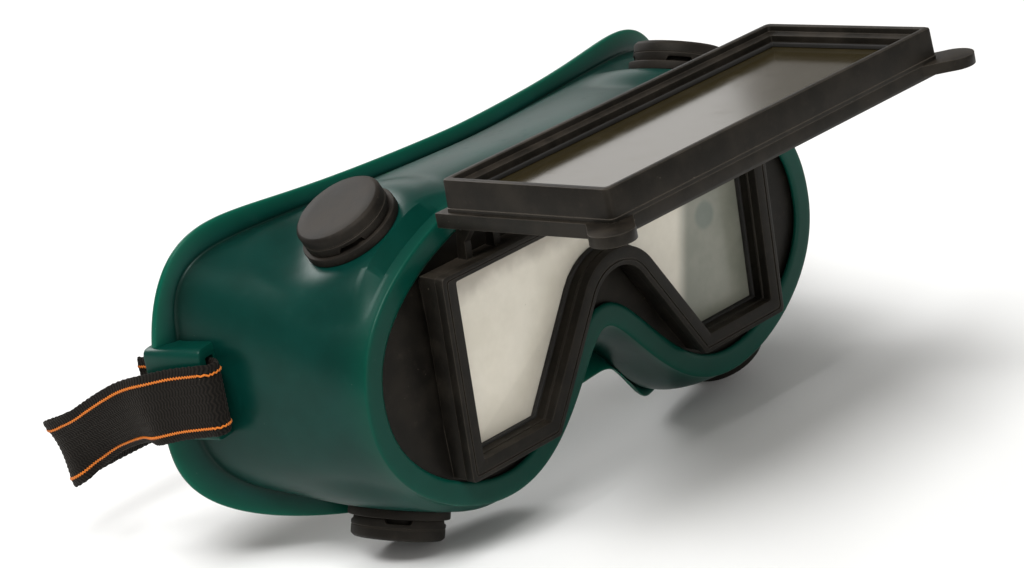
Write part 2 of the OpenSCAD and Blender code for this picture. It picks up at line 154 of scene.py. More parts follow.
class Material:
    """A node material with short calls for the patterns that this object needs."""

    def __init__(self, name):
        self.data = bpy.data.materials.new(name)
        self.data.use_nodes = True
        self.tree = self.data.node_tree
        self.shader = self.tree.nodes["Principled BSDF"]
        self.where = self.node("ShaderNodeTexCoord").outputs["Object"]

    def node(self, kind, inputs=None, **settings):
        made = self.tree.nodes.new(kind)
        for key, value in settings.items():
            setattr(made, key, value)
        for key, value in (inputs or {}).items():
            self.put(made.inputs[key], value)
        return made

    def put(self, socket, value):
        if isinstance(value, bpy.types.NodeSocket):
            self.tree.links.new(value, socket)
        elif hasattr(socket.default_value, "__len__") and len(value) < len(socket.default_value):
            socket.default_value = (*value, 1)
        else:
            socket.default_value = value

    def set(self, **inputs):
        """Sets the shader's inputs: base_color=... sets "Base Color"."""
        names = {"ior": "IOR", "specular_ior_level": "Specular IOR Level", "coat_ior": "Coat IOR"}
        for key, value in inputs.items():
            title = names.get(key, key.replace("_", " ").title())
            self.put(self.shader.inputs[title], value)

    def noise(self, size, detail=3, roughness=0.55):
        """Noise with features of about the given size in millimetres."""
        made = self.node("ShaderNodeTexNoise", {
            "Vector": self.where, "Scale": 1 / (size * MM), "Detail": detail,
            "Roughness": roughness})
        return made.outputs["Fac"]

    def math(self, operation, a, b=0.0, clamp=False):
        made = self.node("ShaderNodeMath", operation=operation, use_clamp=clamp)
        self.put(made.inputs[0], a)
        self.put(made.inputs[1], b)
        return made.outputs["Value"]

    def step(self, value, low, high):
        """0 below low and 1 above high, smooth between."""
        made = self.node("ShaderNodeMapRange", {
            "Value": value, "From Min": low, "From Max": high}, interpolation_type="SMOOTHSTEP")
        return made.outputs["Result"]

    def mix(self, share, a, b):
        """Colour a where share is 0 and b where it is 1."""
        made = self.node("ShaderNodeMix", data_type="RGBA")
        self.put(made.inputs["Factor"], share)
        self.put(made.inputs[6], a)
        self.put(made.inputs[7], b)
        return made.outputs[2]

    def specks(self, spacing, radius, share):
        """Round specks: their spacing and radius in millimetres and the share of cells with one."""
        cells = self.node("ShaderNodeTexVoronoi", {
            "Vector": self.where, "Scale": 1 / (spacing * MM), "Randomness": 1.0})
        dot = self.step(cells.outputs["Distance"], radius / spacing, 0.5 * radius / spacing)
        pick = self.node("ShaderNodeSeparateColor", {"Color": cells.outputs["Color"]})
        chosen = self.math("LESS_THAN", pick.outputs["Red"], share)
        return self.math("MULTIPLY", dot, chosen)

    def bump(self, height, depth, normal=None):
        """A bump of the given depth in millimetres for a height of 0 to 1."""
        made = self.node("ShaderNodeBump", {"Height": height, "Distance": depth * MM})
        if normal:
            self.put(made.inputs["Normal"], normal)
        return made.outputs["Normal"]

    def edge_mask_for_rub_and_highlight(self, radius):
        """1 on edges sharper than about the radius in millimetres, 0 on flats."""
        soft = self.node("ShaderNodeBevel", {"Radius": radius * MM}, samples=4)
        flat = self.node("ShaderNodeNewGeometry").outputs["Normal"]
        turn = self.node("ShaderNodeVectorMath", operation="DOT_PRODUCT")
        self.put(turn.inputs[0], soft.outputs["Normal"])
        self.put(turn.inputs[1], flat)
        return self.step(turn.outputs["Value"], 0.985, 0.86)

    def axis(self, name):
        parts = self.node("ShaderNodeSeparateXYZ", {"Vector": self.where})
        return parts.outputs[name]


def black_plastic(name, dark, light, rough, grain=0.02, rub_and_edge_highlight=0.5, film=0.15):
    """Moulded black plastic: cloudy tone, fine grain, rubbed edges with a painted edge highlight,
    and dust on upward faces with a painted lighter top.
    """
    m = Material(name)
    cloud = m.noise(9, 4, 0.6)
    tone = m.mix(m.step(cloud, 0.35, 0.68), dark, light)
    handled = m.step(m.noise(2.2, 5, 0.7), 0.56, 0.74)
    tone = m.mix(m.math("MULTIPLY", handled, 0.3), tone, (0.03, 0.024, 0.018))
    # upward faces are lightened: settled dust, and a painted highlight from the light above
    up = m.node("ShaderNodeSeparateXYZ",
                {"Vector": m.node("ShaderNodeNewGeometry").outputs["Normal"]}).outputs["Z"]
    top_dust_and_light = m.math("MULTIPLY", m.step(up, 0.45, 0.95), m.step(cloud, 0.2, 0.75))
    tone = m.mix(m.math("MULTIPLY", top_dust_and_light, film), tone, (0.1, 0.078, 0.058))
    # edges are lightened: rubbed plastic, and a painted highlight along the rounded edges
    rubbed_and_edge_highlight = m.math("MULTIPLY", m.edge_mask_for_rub_and_highlight(0.35), rub_and_edge_highlight)
    tone = m.mix(rubbed_and_edge_highlight, tone, (0.07, 0.06, 0.048))
    dust = m.math("MAXIMUM", m.specks(1.9, 0.11, 0.16), m.specks(5.2, 0.2, 0.12))
    tone = m.mix(m.math("MULTIPLY", dust, 0.45), tone, (0.2, 0.17, 0.13))
    fine = m.bump(m.noise(0.28, 2, 0.5), grain)
    broad = m.bump(m.noise(3.5, 2, 0.5), 0.035, fine)
    rough_map = m.math("ADD", m.math("MULTIPLY", cloud, 0.16), rough - 0.08)
    m.set(base_color=tone, roughness=rough_map, specular_ior_level=0.17,
          specular_tint=(1, 0.93, 0.84), normal=broad)
    return m.data


def soft_green():
    """Moulded soft PVC: deep teal green, with a painted glow of light through its thin edges and
    painted shade in the crease.
    """
    m = Material("soft_green_pvc")
    cloud = m.noise(26, 4, 0.55)
    tone = m.mix(m.step(cloud, 0.3, 0.7), (0.0005, 0.022, 0.0165), (0.0012, 0.033, 0.0255))
    thin = m.node("ShaderNodeAttribute", attribute_name="thin").outputs["Fac"]
    # painted glow: thin edges are lightened towards bright emerald, standing in for light shining
    # through the PVC
    tone = m.mix(m.math("MULTIPLY", thin, 0.85, clamp=True), tone, (0.0005, 0.085, 0.05))
    # painted shade: where the mask is negative, the crease between tube and flange is darkened
    painted_crease_shade = m.math("MULTIPLY", thin, -0.8, clamp=True)
    tone = m.mix(painted_crease_shade, tone, (0.0035, 0.0075, 0.0055))
    haze = m.step(m.noise(3.2, 6, 0.72), 0.55, 0.8)
    tone = m.mix(m.math("MULTIPLY", haze, 0.13), tone, (0.022, 0.055, 0.045))
    dust = m.math("MAXIMUM", m.specks(2.4, 0.12, 0.1), m.specks(7.5, 0.22, 0.1))
    tone = m.mix(m.math("MULTIPLY", dust, 0.4), tone, (0.13, 0.16, 0.13))
    skin = m.bump(m.noise(0.5, 3, 0.6), 0.012)
    waves = m.bump(m.noise(14, 2, 0.4), 0.1, skin)
    rough = m.math("ADD", m.math("MULTIPLY", haze, 0.12), 0.36)
    m.set(base_color=tone, roughness=rough, normal=waves,
          specular_ior_level=0.13, specular_tint=(0.8, 1, 0.93),
          subsurface_weight=0.1, subsurface_radius=(0.3, 2.2, 1.4), subsurface_scale=MM,
          coat_weight=0.06, coat_roughness=0.22, coat_ior=1.35)
    return m.data


def hazy_lens():
    """Clear polycarbonate with a dusty, fogged surface; painted shade darkens the far eye's half
    and a band under the top rim.
    """
    m = Material("hazy_clear_lens")
    across = m.axis("X")
    up = m.axis("Z")
    cloud = m.noise(12, 4, 0.6)
    tone = m.mix(m.step(cloud, 0.3, 0.75), (0.8, 0.745, 0.63), (0.87, 0.815, 0.7))
    # the far eye's half is darker, behind a soft edge: painted shade
    edge = m.math("ADD", across, m.math("MULTIPLY", up, -0.2))
    far = m.step(edge, 0.0272, 0.0325)
    painted_shade_far_tone = m.mix(m.step(cloud, 0.35, 0.7), (0.215, 0.225, 0.18), (0.265, 0.27, 0.22))
    tone = m.mix(far, tone, painted_shade_far_tone)
    # a darker band under the top rim: painted shade
    band = m.step(m.math("ADD", up, m.math("MULTIPLY", m.noise(9, 3), 0.006)), 0.0165, 0.0225)
    tone = m.mix(m.math("MULTIPLY", band, 0.6), tone, (0.2, 0.16, 0.12))
    # a soft diagonal edge in the near eye's haze, and a darker drop mark in the far eye's
    slant = m.math("ADD", up, m.math("MULTIPLY", across, -0.61))
    tone = m.mix(m.math("MULTIPLY", m.step(slant, 0.0105, 0.009), 0.1), tone, (0.3, 0.28, 0.23))
    mark = m.node("ShaderNodeVectorMath", {0: m.where, 1: (0.0395, -0.0385, 0.0056)},
                  operation="DISTANCE").outputs["Value"]
    tone = m.mix(m.math("MULTIPLY", m.step(mark, 0.0042, 0.0026), 0.55), tone, (0.1, 0.14, 0.12))
    speck = m.math("MAXIMUM", m.specks(3.4, 0.14, 0.16), m.specks(9, 0.25, 0.2))
    tone = m.mix(m.math("MULTIPLY", speck, 0.35), tone, (0.22, 0.19, 0.14))
    smear = m.bump(m.noise(5, 5, 0.65), 0.02)
    m.set(base_color=tone, roughness=0.35, ior=1.45, coat_weight=0.3, coat_roughness=0.12,
          normal=smear)
    glass = m.node("ShaderNodeBsdfTransparent", {"Color": (0.92, 0.93, 0.9)})
    share = m.math("MULTIPLY", m.step(cloud, 0.2, 0.8), -0.05)
    share = m.math("ADD", share, 0.16)
    joined = m.node("ShaderNodeMixShader", {0: share, 1: m.shader.outputs["BSDF"],
                                            2: glass.outputs["BSDF"]})
    out = m.tree.nodes["Material Output"]
    m.put(out.inputs["Surface"], joined.outputs["Shader"])
    return m.data


def dark_filter():
    """Dark olive welding glass with a glossy face, dust and fine scratches."""
    m = Material("dark_filter_glass")
    dust = m.math("MAXIMUM", m.specks(1.5, 0.1, 0.14), m.specks(4.6, 0.17, 0.2))
    film = m.step(m.noise(7, 5, 0.7), 0.45, 0.8)
    tone = m.mix(m.math("MULTIPLY", film, 0.3), (0.026, 0.02, 0.008), (0.06, 0.048, 0.026))
    tone = m.mix(m.math("MULTIPLY", dust, 0.4), tone, (0.3, 0.27, 0.2))
    rough = m.math("ADD", m.math("MULTIPLY", film, 0.05), 0.12)
    m.set(base_color=tone, roughness=rough, ior=1.6, specular_ior_level=0.38,
          specular_tint=(1, 0.88, 0.74))
    return m.data


def cover_plate():
    """The thin clear plate behind the filter."""
    m = Material("clear_cover_plate")
    film = m.step(m.noise(8, 4, 0.6), 0.4, 0.8)
    tone = m.mix(film, (0.42, 0.44, 0.38), (0.6, 0.6, 0.54))
    m.set(base_color=tone, roughness=0.12, alpha=m.math("ADD", m.math("MULTIPLY", film, 0.12), 0.3),
          coat_weight=0.6, coat_roughness=0.04)
    return m.data


def seal_rubber():
    """Dull black rubber of the two seals."""
    m = Material("seal_rubber")
    cloud = m.noise(4, 4, 0.6)
    tone = m.mix(cloud, (0.006, 0.006, 0.0055), (0.02, 0.018, 0.016))
    m.set(base_color=tone, roughness=0.75, normal=m.bump(m.noise(0.4, 3), 0.03))
    return m.data


def pin_steel():
    """Plated steel hinge pins with fine turning lines."""
    m = Material("pin_steel")
    lines = m.node("ShaderNodeTexWave", {
        "Vector": m.where, "Scale": 1 / (0.35 * MM), "Distortion": 0.4, "Detail": 2},
        bands_direction="X")
    tone = m.mix(m.noise(2, 4), (0.22, 0.21, 0.2), (0.42, 0.41, 0.39))
    m.set(base_color=tone, metallic=1.0, roughness=0.32,
          normal=m.bump(lines.outputs["Fac"], 0.01))
    return m.data


def band_elastic():
    """Knitted black elastic: rows of small slanted stitches along the band."""
    m = Material("black_elastic")
    uv = m.node("ShaderNodeUVMap").outputs["UV"]
    parts = m.node("ShaderNodeSeparateXYZ", {"Vector": uv})
    across, along = parts.outputs["X"], parts.outputs["Y"]
    row = m.math("MULTIPLY", across, 1 / BAND_CORD)
    lean = m.math("MULTIPLY", m.math("PINGPONG", row, 1.0), 0.55)
    stitch = m.math("FRACT", m.math("ADD", m.math("MULTIPLY", along, 1 / BAND_STITCH), lean))
    ridge = m.math("PINGPONG", m.math("MULTIPLY", stitch, 2.0), 1.0)
    fuzz = m.noise(0.35, 3, 0.7)
    height = m.math("ADD", m.math("MULTIPLY", ridge, 0.7), m.math("MULTIPLY", fuzz, 0.5))
    tone = m.mix(m.step(height, 0.2, 1.1), (0.002, 0.0017, 0.0014), (0.014, 0.0115, 0.009))
    lint = m.specks(3.1, 0.13, 0.08)
    tone = m.mix(m.math("MULTIPLY", lint, 0.5), tone, (0.3, 0.27, 0.22))
    m.set(base_color=tone, roughness=0.85, specular_ior_level=0.12, sheen_weight=0.07,
          sheen_roughness=0.5, sheen_tint=(0.5, 0.44, 0.38), normal=m.bump(height, 0.22))
    return m.data


def orange_thread():
    """The twisted orange thread knitted into the band."""
    m = Material("orange_thread")
    ply = m.noise(0.3, 3, 0.6)
    tone = m.mix(ply, (0.42, 0.1, 0.008), (0.75, 0.21, 0.025))
    m.set(base_color=tone, roughness=0.75, specular_ior_level=0.15, sheen_weight=0.1,
          normal=m.bump(ply, 0.08))
    return m.data


def pale_floor():
    """A plain pale studio floor."""
    m = Material("pale_floor")
    tone = m.mix(m.noise(300, 2), (0.86, 0.86, 0.85), (0.89, 0.89, 0.88))
    m.set(base_color=tone, roughness=0.9, specular_ior_level=0.1)
    return m.data


# ---- sizes that the CAD source gives too ---------------------------------

# the window frame: its front, its rim, and the nose arch's top, radius and lean
WINDOW_W, WINDOW_H = 114, 50
FRONT_Y = -45
RIM_W, RIM_RISE = 4.5, 2.2
BEZEL_T, RING_BACK = 5.1, 2.4
ARCH_TOP, ARCH_R, ARCH_LEAN = 7.2, 10, math.radians(33.6)

# the soft body: half widths, wall, front lip, and the powers of its rounded ovals
LIP_A, FLANGE_A, WALL, LIP_BAND = 79.4, 92.8, 2, 5.7
CREASE_A = FLANGE_A - 5.5
LIP_N, LIP_LOW_N = 2.22, 2.15
LOBE_X, LOBE_W = 36, 13
BULGE, BULGE_NOSE_X = 2.5, 24
CREASE_Y, EDGE_Y = -12.3, -12
WRAP_DEPTH, WRAP_POWER, WRAP_SLOPE, WRAP_TURN = 27.4, 1.7, 0.35, 0.36
LIP_Y, LIP_TILT, LIP_T = FRONT_Y + 6.6, math.radians(3.4), 1.55
BEAD_Y, BEAD_T, BEAD_W = 3.8, 1.6, 5

# vents: the seat's middle (x, y), its height for a top (1) or bottom (-1) vent, and radii
VENT_AT = Vector((57.5, -19.5))
VENT_Z = {1: 33.6, -1: -34.8}
VENT_R, VENT_BORE_R, VENT_PAD_T = 11, 7.65, 3.6
SLOT_W, SLOT_RISE = 6, 1.15    # the caps' air slots

# strap lugs: N is the distance out of the body's side
LUG_AT = Vector((87.1, 10.2, 1.4))
LUG_TURN, LUG_DROOP = math.radians(10.2), math.radians(4)
LUG_LEN, LUG_SLOT_H, LUG_BAR, LUG_BAR_CUT = 16.5, 18.5, 2.6, 1.1
LUG_ROOT_N, LUG_SLOT_N, LUG_PLATE_N, LUG_OUT = -1.4, 0.5, 3.4, 5.5
PASSAGE_Y = (2, 24)    # the strap's way through the flange, along the lug

# the shade: its hinge line, how far it is raised at rest, and its box when closed
HINGE = Vector((0, FRONT_Y + 3.2, WINDOW_H / 2 + 9.4))
RAISED = math.radians(94)
FLIP_W, FLIP_H, FLIP_MID, FLIP_FRONT = 116, 50, -48.7, -56.4
FLIP_LEDGE_Y, FLIP_LEDGE_W, FLIP_WALL = FLIP_MID - 4.3, 4.2, 2

# the headband
BAND_W, BAND_T = 17.3, 1.3

# ---- finer detail that the CAD source doesn't have -----------------------

BAND_STEP, BAND_CORD, BAND_STITCH = 0.8, 1.15, 0.85
CORD_RELIEF, BAND_EDGE_T = 0.07, 0.24
SCALLOP, SCALLOP_RUN = 0.12, 1.7     # how far the band's edges wave, and how often
THREAD_IN, THREAD_OUT = 2.2, 0.02    # in from the band's edge, and out from its face
THREAD_R, THREAD_FLAT_R = 0.25, 0.2
THREAD_STEP, THREAD_ZIGZAG = 0.36, 0.17
POCKET_DEPTH = 0.7                   # of the pockets beside the strap lugs

GREEN = soft_green()
BLACK = black_plastic("black_housing_plastic",
                      (0.0028, 0.0024, 0.0018), (0.0085, 0.007, 0.0052), 0.5)
SHADE_BLACK = black_plastic("black_shade_plastic",
                            (0.005, 0.0043, 0.0032), (0.013, 0.0108, 0.0082), 0.46, rub_and_edge_highlight=0.7)
VENT_BLACK = black_plastic("black_vent_plastic",
                           (0.005, 0.0042, 0.0033), (0.012, 0.0098, 0.0077), 0.6,
                           grain=0.03, rub_and_edge_highlight=0.4, film=0.12)
RUBBER = seal_rubber()
ELASTIC = band_elastic()
THREAD = orange_thread()


# ---- the soft body -------------------------------------------------------

UP_STEPS, LOW_STEPS = 190, 250    # columns of points round the body's upper and lower half
FINER = 4                         # two corner cuts turn each section point into four
# numbers of section points: the tube's outside, its part with the strap pockets, and its inside
TUBE_OUTSIDE, POCKETS, TUBE_INSIDE = (4, 11), (4, 10), (16, 20)
BOSS_R, BOSS_FOOT_R = 12.2, 25    # a vent's flat boss, and where its soft foot ends
BOSS_REACH = 12                   # points this far above or below a vent's seat stay put


def signed_power(value, exponent):
    return math.copysign(abs(value) ** exponent, value)


def notch(x, height, width, power, radius):
    """The nose notch: its height at x, rounded over the radius at its top."""
    return height * math.exp(-((x * x + radius ** 2) ** (power / 2) - radius ** power)
                             / width ** power)


def oval(half, heights, powers, brow, nose, lobe, angle):
    """A rounded oval's (x, z) at an angle in radians.

    heights are its top and bottom, and powers say how square each half is. Its upper half
    has a brow near the temples (height and two powers), and its lower half a nose notch
    (as for notch) between two lobes of the given depth.
    """
    share = signed_power(math.cos(angle), 2 / LIP_N)
    x = half * share
    top, bottom = heights
    up = math.sin(angle) >= 0
    power = powers[0 if up else 1]
    rise = max(0, 1 - abs(share) ** power) ** (1 / power)
    z = (top + bottom) / 2 + (top - bottom) / 2 * (rise if up else -rise)
    if up:
        return Vector((x, z + brow[0] * abs(share) ** brow[1] * rise ** brow[2]))
    return Vector((x, z + notch(x, *nose) - lobe * math.exp(-((abs(x) - LOBE_X) / LOBE_W) ** 2)))


def lip_xz(angle):
    """The front lip's edge."""
    return oval(LIP_A, (40.8, -43.6), (LIP_N, LIP_LOW_N), brow=(0, 1, 1),
                nose=(34.7, 21.8, 1.4, 4), lobe=0, angle=angle)


def crease_xz(angle):
    """Where the tube meets the face flange."""
    return oval(CREASE_A, (33.8, -36.8), (4.2, 3.2), brow=(9.8, 5.5, 1),
                nose=(17, 21, 4, 2), lobe=3, angle=angle)


def edge_xz(angle):
    """The face flange's edge."""
    return oval(FLANGE_A, (37.2, -40.3), (3.5, 3.6), brow=(26.5, 4.4, 2.7),
                nose=(11.5, 25, 9, 0), lobe=1.4, angle=angle)


def inward(curve, angle):
    """Unit normal of a curve, pointing to the body's inside."""
    step = math.radians(1)
    run = curve(angle + step) - curve(angle - step)
    return Vector((-run.y, run.x)).normalized()


def wrap_y(p, start):
    """The flange's depth: it runs back round the temples."""
    t = abs(p.x) / FLANGE_A
    slope = WRAP_SLOPE - WRAP_TURN * t * t
    return start + WRAP_DEPTH * t ** WRAP_POWER + slope * p.y


class Ring:
    """The body's curves at one angle."""

    def __init__(self, angle):
        self.lip = lip_xz(angle)
        self.lip_in = inward(lip_xz, angle)
        self.crease = crease_xz(angle)
        self.crease_in = inward(crease_xz, angle)
        self.edge = edge_xz(angle)
        self.bulge = BULGE * (1 - abs(self.lip.x / LIP_A) ** 4)
        if math.sin(angle) < 0:
            self.bulge *= 1 - math.exp(-(self.lip.x / BULGE_NOSE_X) ** 4)

    def at_lip(self, inset, depth):
        """A point of the lip, moved into the opening and back from the front face."""
        p = self.lip + inset * self.lip_in
        return Vector((p.x, LIP_Y + depth + p.y * math.tan(LIP_TILT), p.y))

    def at_crease(self, inset, depth):
        """A point of the crease, moved to the inside and back."""
        p = self.crease + inset * self.crease_in
        return Vector((p.x, wrap_y(self.crease, CREASE_Y) + depth, p.y))

    def at_edge(self, inset, depth):
        """A point of the flange's edge, moved towards the crease and back."""
        p = self.edge + inset * (self.crease - self.edge).normalized()
        return Vector((p.x, wrap_y(self.edge, EDGE_Y) + depth, p.y))

    def tube(self, share, inset):
        """A point of the bulged tube, from the lip (0) to the crease (1)."""
        out = 4 * share * (1 - share) * self.bulge * self.lip_in
        straight = self.at_lip(inset, 1).lerp(self.at_crease(inset, 0), share)
        return straight - Vector((out.x, 0, out.y))

    def flange(self, share):
        """A point of the flange's front face, from the crease (0) to near its edge (1)."""
        return self.at_crease(-0.3, 0.1).lerp(self.at_edge(0.8, 0), share)

    def section(self):
        """The wall's cross-section; each point has 1 for painted glow at a thin edge, down to -1
        for painted shade in the crease.
        """
        groove = WALL + 0.2    # the groove between lip and bead, which holds the housing
        return [
            (self.at_lip(LIP_BAND, 0), 0.25), (self.at_lip(3.1, 0), 0.2),
            (self.at_lip(0.7, 0), 0.3), (self.at_lip(0.12, 0.25), 0.5), (self.at_lip(0, 0.9), 0.3),
            (self.tube(0.12, 0), 0), (self.tube(0.3, 0), 0), (self.tube(0.6, 0), 0),
            (self.tube(0.85, 0), 0), (self.tube(0.965, 0), -0.5), (self.at_crease(0.25, 0.45), -1),
            (self.flange(0.1), -0.1), (self.flange(0.9), 0.45), (self.at_edge(0, 0.3), 1),
            (self.at_edge(0, 1.4), 1), (self.at_edge(0.7, 1.8), 0.6),
            (self.at_crease(WALL, WALL), 0), (self.tube(0.8, WALL), 0),
            (self.tube(0.55, WALL), 0), (self.tube(0.25, WALL), 0),
            (self.at_lip(WALL, BEAD_Y + BEAD_T + 0.2), 0),
            (self.at_lip(BEAD_W, BEAD_Y + BEAD_T), 0), (self.at_lip(BEAD_W, BEAD_Y), 0),
            (self.at_lip(groove, BEAD_Y), 0), (self.at_lip(groove, LIP_T), 0),
            (self.at_lip(LIP_BAND, LIP_T), 0.3)]


def cut_corners(loop):
    """Chaikin's step on a closed loop of (point, value)."""
    out = []
    for (p, a), (q, b) in zip(loop, loop[1:] + loop[:1]):
        out.append((p.lerp(q, 0.25), 0.75 * a + 0.25 * b))
        out.append((p.lerp(q, 0.75), 0.25 * a + 0.75 * b))
    return out


def body_angles():
    """Angles round the body, closer together in the nose notch."""
    upper = [math.pi * i / UP_STEPS for i in range(UP_STEPS)]
    lower = []
    for i in range(LOW_STEPS):
        t = -1 + 2 * i / LOW_STEPS
        lower.append(math.radians(270 + 90 * signed_power(t, 1.5)))
    return upper + lower


def vent_place(side, level):
    """Matrix of a vent's own axes in millimetres: side and level are 1 or -1."""
    lean = math.radians(-7 if level > 0 else 176)
    turn = math.radians(side * (25 if level > 0 else 22))
    return (Matrix.Translation((side * VENT_AT.x, VENT_AT.y, VENT_Z[level]))
            @ Matrix.Rotation(lean, 4, "X") @ Matrix.Rotation(turn, 4, "Y"))


def lug_place(side):
    """Matrix of a lug's own axes: X out of the body's side, Y back along it."""
    place = (Matrix.Translation(LUG_AT) @ Matrix.Rotation(-LUG_TURN, 4, "Z")
             @ Matrix.Rotation(-LUG_DROOP, 4, "X"))
    return place if side > 0 else Matrix.Scale(-1, 4, (1, 0, 0)) @ place


SIDES = {"right": -1, "left": 1}
LEVELS = {"top": 1, "bottom": -1}
VENTS = {f"{level}_{side}": vent_place(SIDES[side], LEVELS[level])
         for level in LEVELS for side in SIDES}
LUGS = {side: lug_place(SIDES[side]) for side in SIDES}


def smooth_step(value, low, high):
    t = min(1, max(0, (value - low) / (high - low)))
    return t * t * (3 - 2 * t)


def seat_vents(p, inside):
    """Moves a wall point so that every vent has a flat boss with a soft foot."""
    for place in VENTS.values():
        q = place.inverted() @ p
        radius = math.hypot(q.x, q.y)
        if abs(q.z) > BOSS_REACH or radius > BOSS_FOOT_R:
            continue
        hold = 1 - smooth_step(radius, BOSS_R, BOSS_FOOT_R)
        target = -VENT_PAD_T if inside else 0
        q.z += (target - q.z) * hold
        p = place @ q
    return p


def press_recess(p):
    """The shallow pocket in the wall in front of each strap lug."""
    for place in LUGS.values():
        q = place.inverted() @ p
        if abs(q.x) > 8:
            continue
        along = smooth_step(q.y, -15.5, -14.6) * (1 - smooth_step(q.y, -8.4, -7.8))
        across = 1 - smooth_step(abs(q.z), 8.2, 9.0)
        q.x -= POCKET_DEPTH * along * across
        p = place @ q
    return p


def cutters():
    """The bores under the vents and the strap's ways through the flange, as one mesh."""
    points, faces = [], []

    def add_prism(place, outline, low, high):
        start = len(points)
        count = len(outline)
        for level in (low, high):
            points.extend(place @ Vector((x, y, level)) for x, y in outline)
        faces.append([start + i for i in reversed(range(count))])
        faces.append([start + count + i for i in range(count)])
        for i in range(count):
            k = (i + 1) % count
            faces.append([start + i, start + k, start + count + k, start + count + i])

    sides = 48
    circle = [(VENT_BORE_R * math.cos(math.tau * i / sides),
               VENT_BORE_R * math.sin(math.tau * i / sides)) for i in range(sides)]
    for place in VENTS.values():
        add_prism(place, circle, -9, 5)
    near, far = PASSAGE_Y
    inner = LUG_SLOT_N - 0.3
    slot = [(inner, near), (LUG_PLATE_N, near), (LUG_PLATE_N, far), (inner, far)]
    for place in LUGS.values():
        add_prism(place, slot, -LUG_SLOT_H / 2, LUG_SLOT_H / 2)
    return link_mesh("cutters", points, faces, GREEN)


def between(j, span):
    """Whether a point of the finer section lies inside a span of the section's points."""
    return span[0] * FINER < j < span[1] * FINER


def make_body():
    """The soft shell: lip, tube, flange, vent bosses and strap pockets."""
    points, thin = [], []
    columns = 0
    for angle in body_angles():
        loop = cut_corners(cut_corners(Ring(angle).section()))
        columns = len(loop)
        for j, (p, value) in enumerate(loop):
            inside = between(j, TUBE_INSIDE)
            if inside or between(j, TUBE_OUTSIDE):
                p = seat_vents(p, inside)
            if between(j, POCKETS):
                p = press_recess(p)
            points.append(p)
            thin.append(value)
    faces = grid_faces(UP_STEPS + LOW_STEPS, columns)
    shell = link_mesh("body_shell", points, faces, GREEN, 50)
    tool = cutters()
    bore = shell.modifiers.new("bores", "BOOLEAN")
    bore.operation = "DIFFERENCE"
    bore.solver = "EXACT"
    bore.object = tool
    ready = shell.evaluated_get(bpy.context.evaluated_depsgraph_get())
    mesh = bpy.data.meshes.new_from_object(ready)
    shell.modifiers.clear()
    shell.data = mesh
    bpy.data.objects.remove(tool)
    soften(mesh, 50)
    mark_glow_and_crease_shade(mesh, points, thin)
    return shell


def mark_glow_and_crease_shade(mesh, points, values):
    """Stores each point's value for the material: painted glow at thin edges, painted shade in the
    crease.
    """
    tree = KDTree(len(points))
    for i, p in enumerate(points):
        tree.insert(p * MM, i)
    tree.balance()
    layer = mesh.attributes.new("thin", "FLOAT", "POINT")
    layer.data.foreach_set("value", [values[tree.find(v.co)[1]] for v in mesh.vertices])


body = make_body()
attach(body, "goggles")
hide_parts("soft_body")


# ---- strap lugs ----------------------------------------------------------

def make_lug(side):
    """A lug moulded on the body's side: a rounded loop that the strap goes through."""
    half = LUG_SLOT_H / 2
    tall = half + LUG_BAR

    def outline_at(inset):
        # seen along the strap: x out of the wall, z up
        foot = -tall + LUG_BAR_CUT + inset
        box = [(LUG_ROOT_N + inset, foot), (LUG_OUT - inset, foot),
               (LUG_OUT - inset, tall - inset), (LUG_ROOT_N + inset, tall - inset)]
        corner = max(0.3, 2.2 - inset)
        return rounded(box, [0.2, corner, corner, 0.2], 5)

    def slot_at(_):
        box = [(LUG_SLOT_N, -half), (LUG_PLATE_N, -half), (LUG_PLATE_N, half), (LUG_SLOT_N, half)]
        return rounded(box, 0.5, 5)

    reach = LUG_LEN / 2
    soft = 0.7
    rows = []
    for inset, y in ((soft, -reach), (soft * 0.3, -reach + soft * 0.3), (0, -reach + soft),
                     (0, reach - soft), (soft * 0.3, reach - soft * 0.3), (soft, reach)):
        rows.append([(x, y, z) for x, z in outline_at(inset)])
    for y in (reach, -reach):
        rows.append([(x, y, z) for x, z in slot_at(0)])
    place = LUGS[side]
    count = len(rows[0])
    points = [place @ Vector(p) for row in rows for p in row]
    faces = grid_faces(len(rows), count)
    if SIDES[side] > 0:
        faces = [tuple(reversed(f)) for f in faces]
    lug = link_mesh(f"strap_lug_{side}", points, faces, GREEN, 40)
    # a slight painted glow, even over the whole lug
    layer = lug.data.attributes.new("thin", "FLOAT", "POINT")
    layer.data.foreach_set("value", [0.12] * len(lug.data.vertices))
    return lug


for side in SIDES:
    piece = make_lug(side)
    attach(piece, "goggles")
    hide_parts("soft_body")


# ---- the window's bezel --------------------------------------------------

ARC_STEPS = 24


def window_outline(inset, rise=0.0, corner=1.0):
    """The window frame's outline, moved in by inset and its top raised by rise."""
    half = WINDOW_W / 2 - inset
    top = WINDOW_H / 2 - inset + rise
    bottom = -WINDOW_H / 2 + inset
    radius = ARCH_R + inset
    centre = ARCH_TOP - ARCH_R
    leg_x = radius * math.cos(ARCH_LEAN)
    leg_z = centre + radius * math.sin(ARCH_LEAN)
    foot = leg_x + (leg_z - bottom) * math.tan(ARCH_LEAN)
    arch = []
    for k in range(ARC_STEPS + 1):
        a = math.pi - ARCH_LEAN - k * (math.pi - 2 * ARCH_LEAN) / ARC_STEPS
        arch.append((radius * math.cos(a), centre + radius * math.sin(a)))
    points = [(-half, bottom), (-foot, bottom), *arch, (foot, bottom), (half, bottom),
              (half, top), (-half, top)]
    corners = [corner, corner, *[0] * (ARC_STEPS + 1), corner, corner, corner, corner]
    return rounded(points, corners, 5)


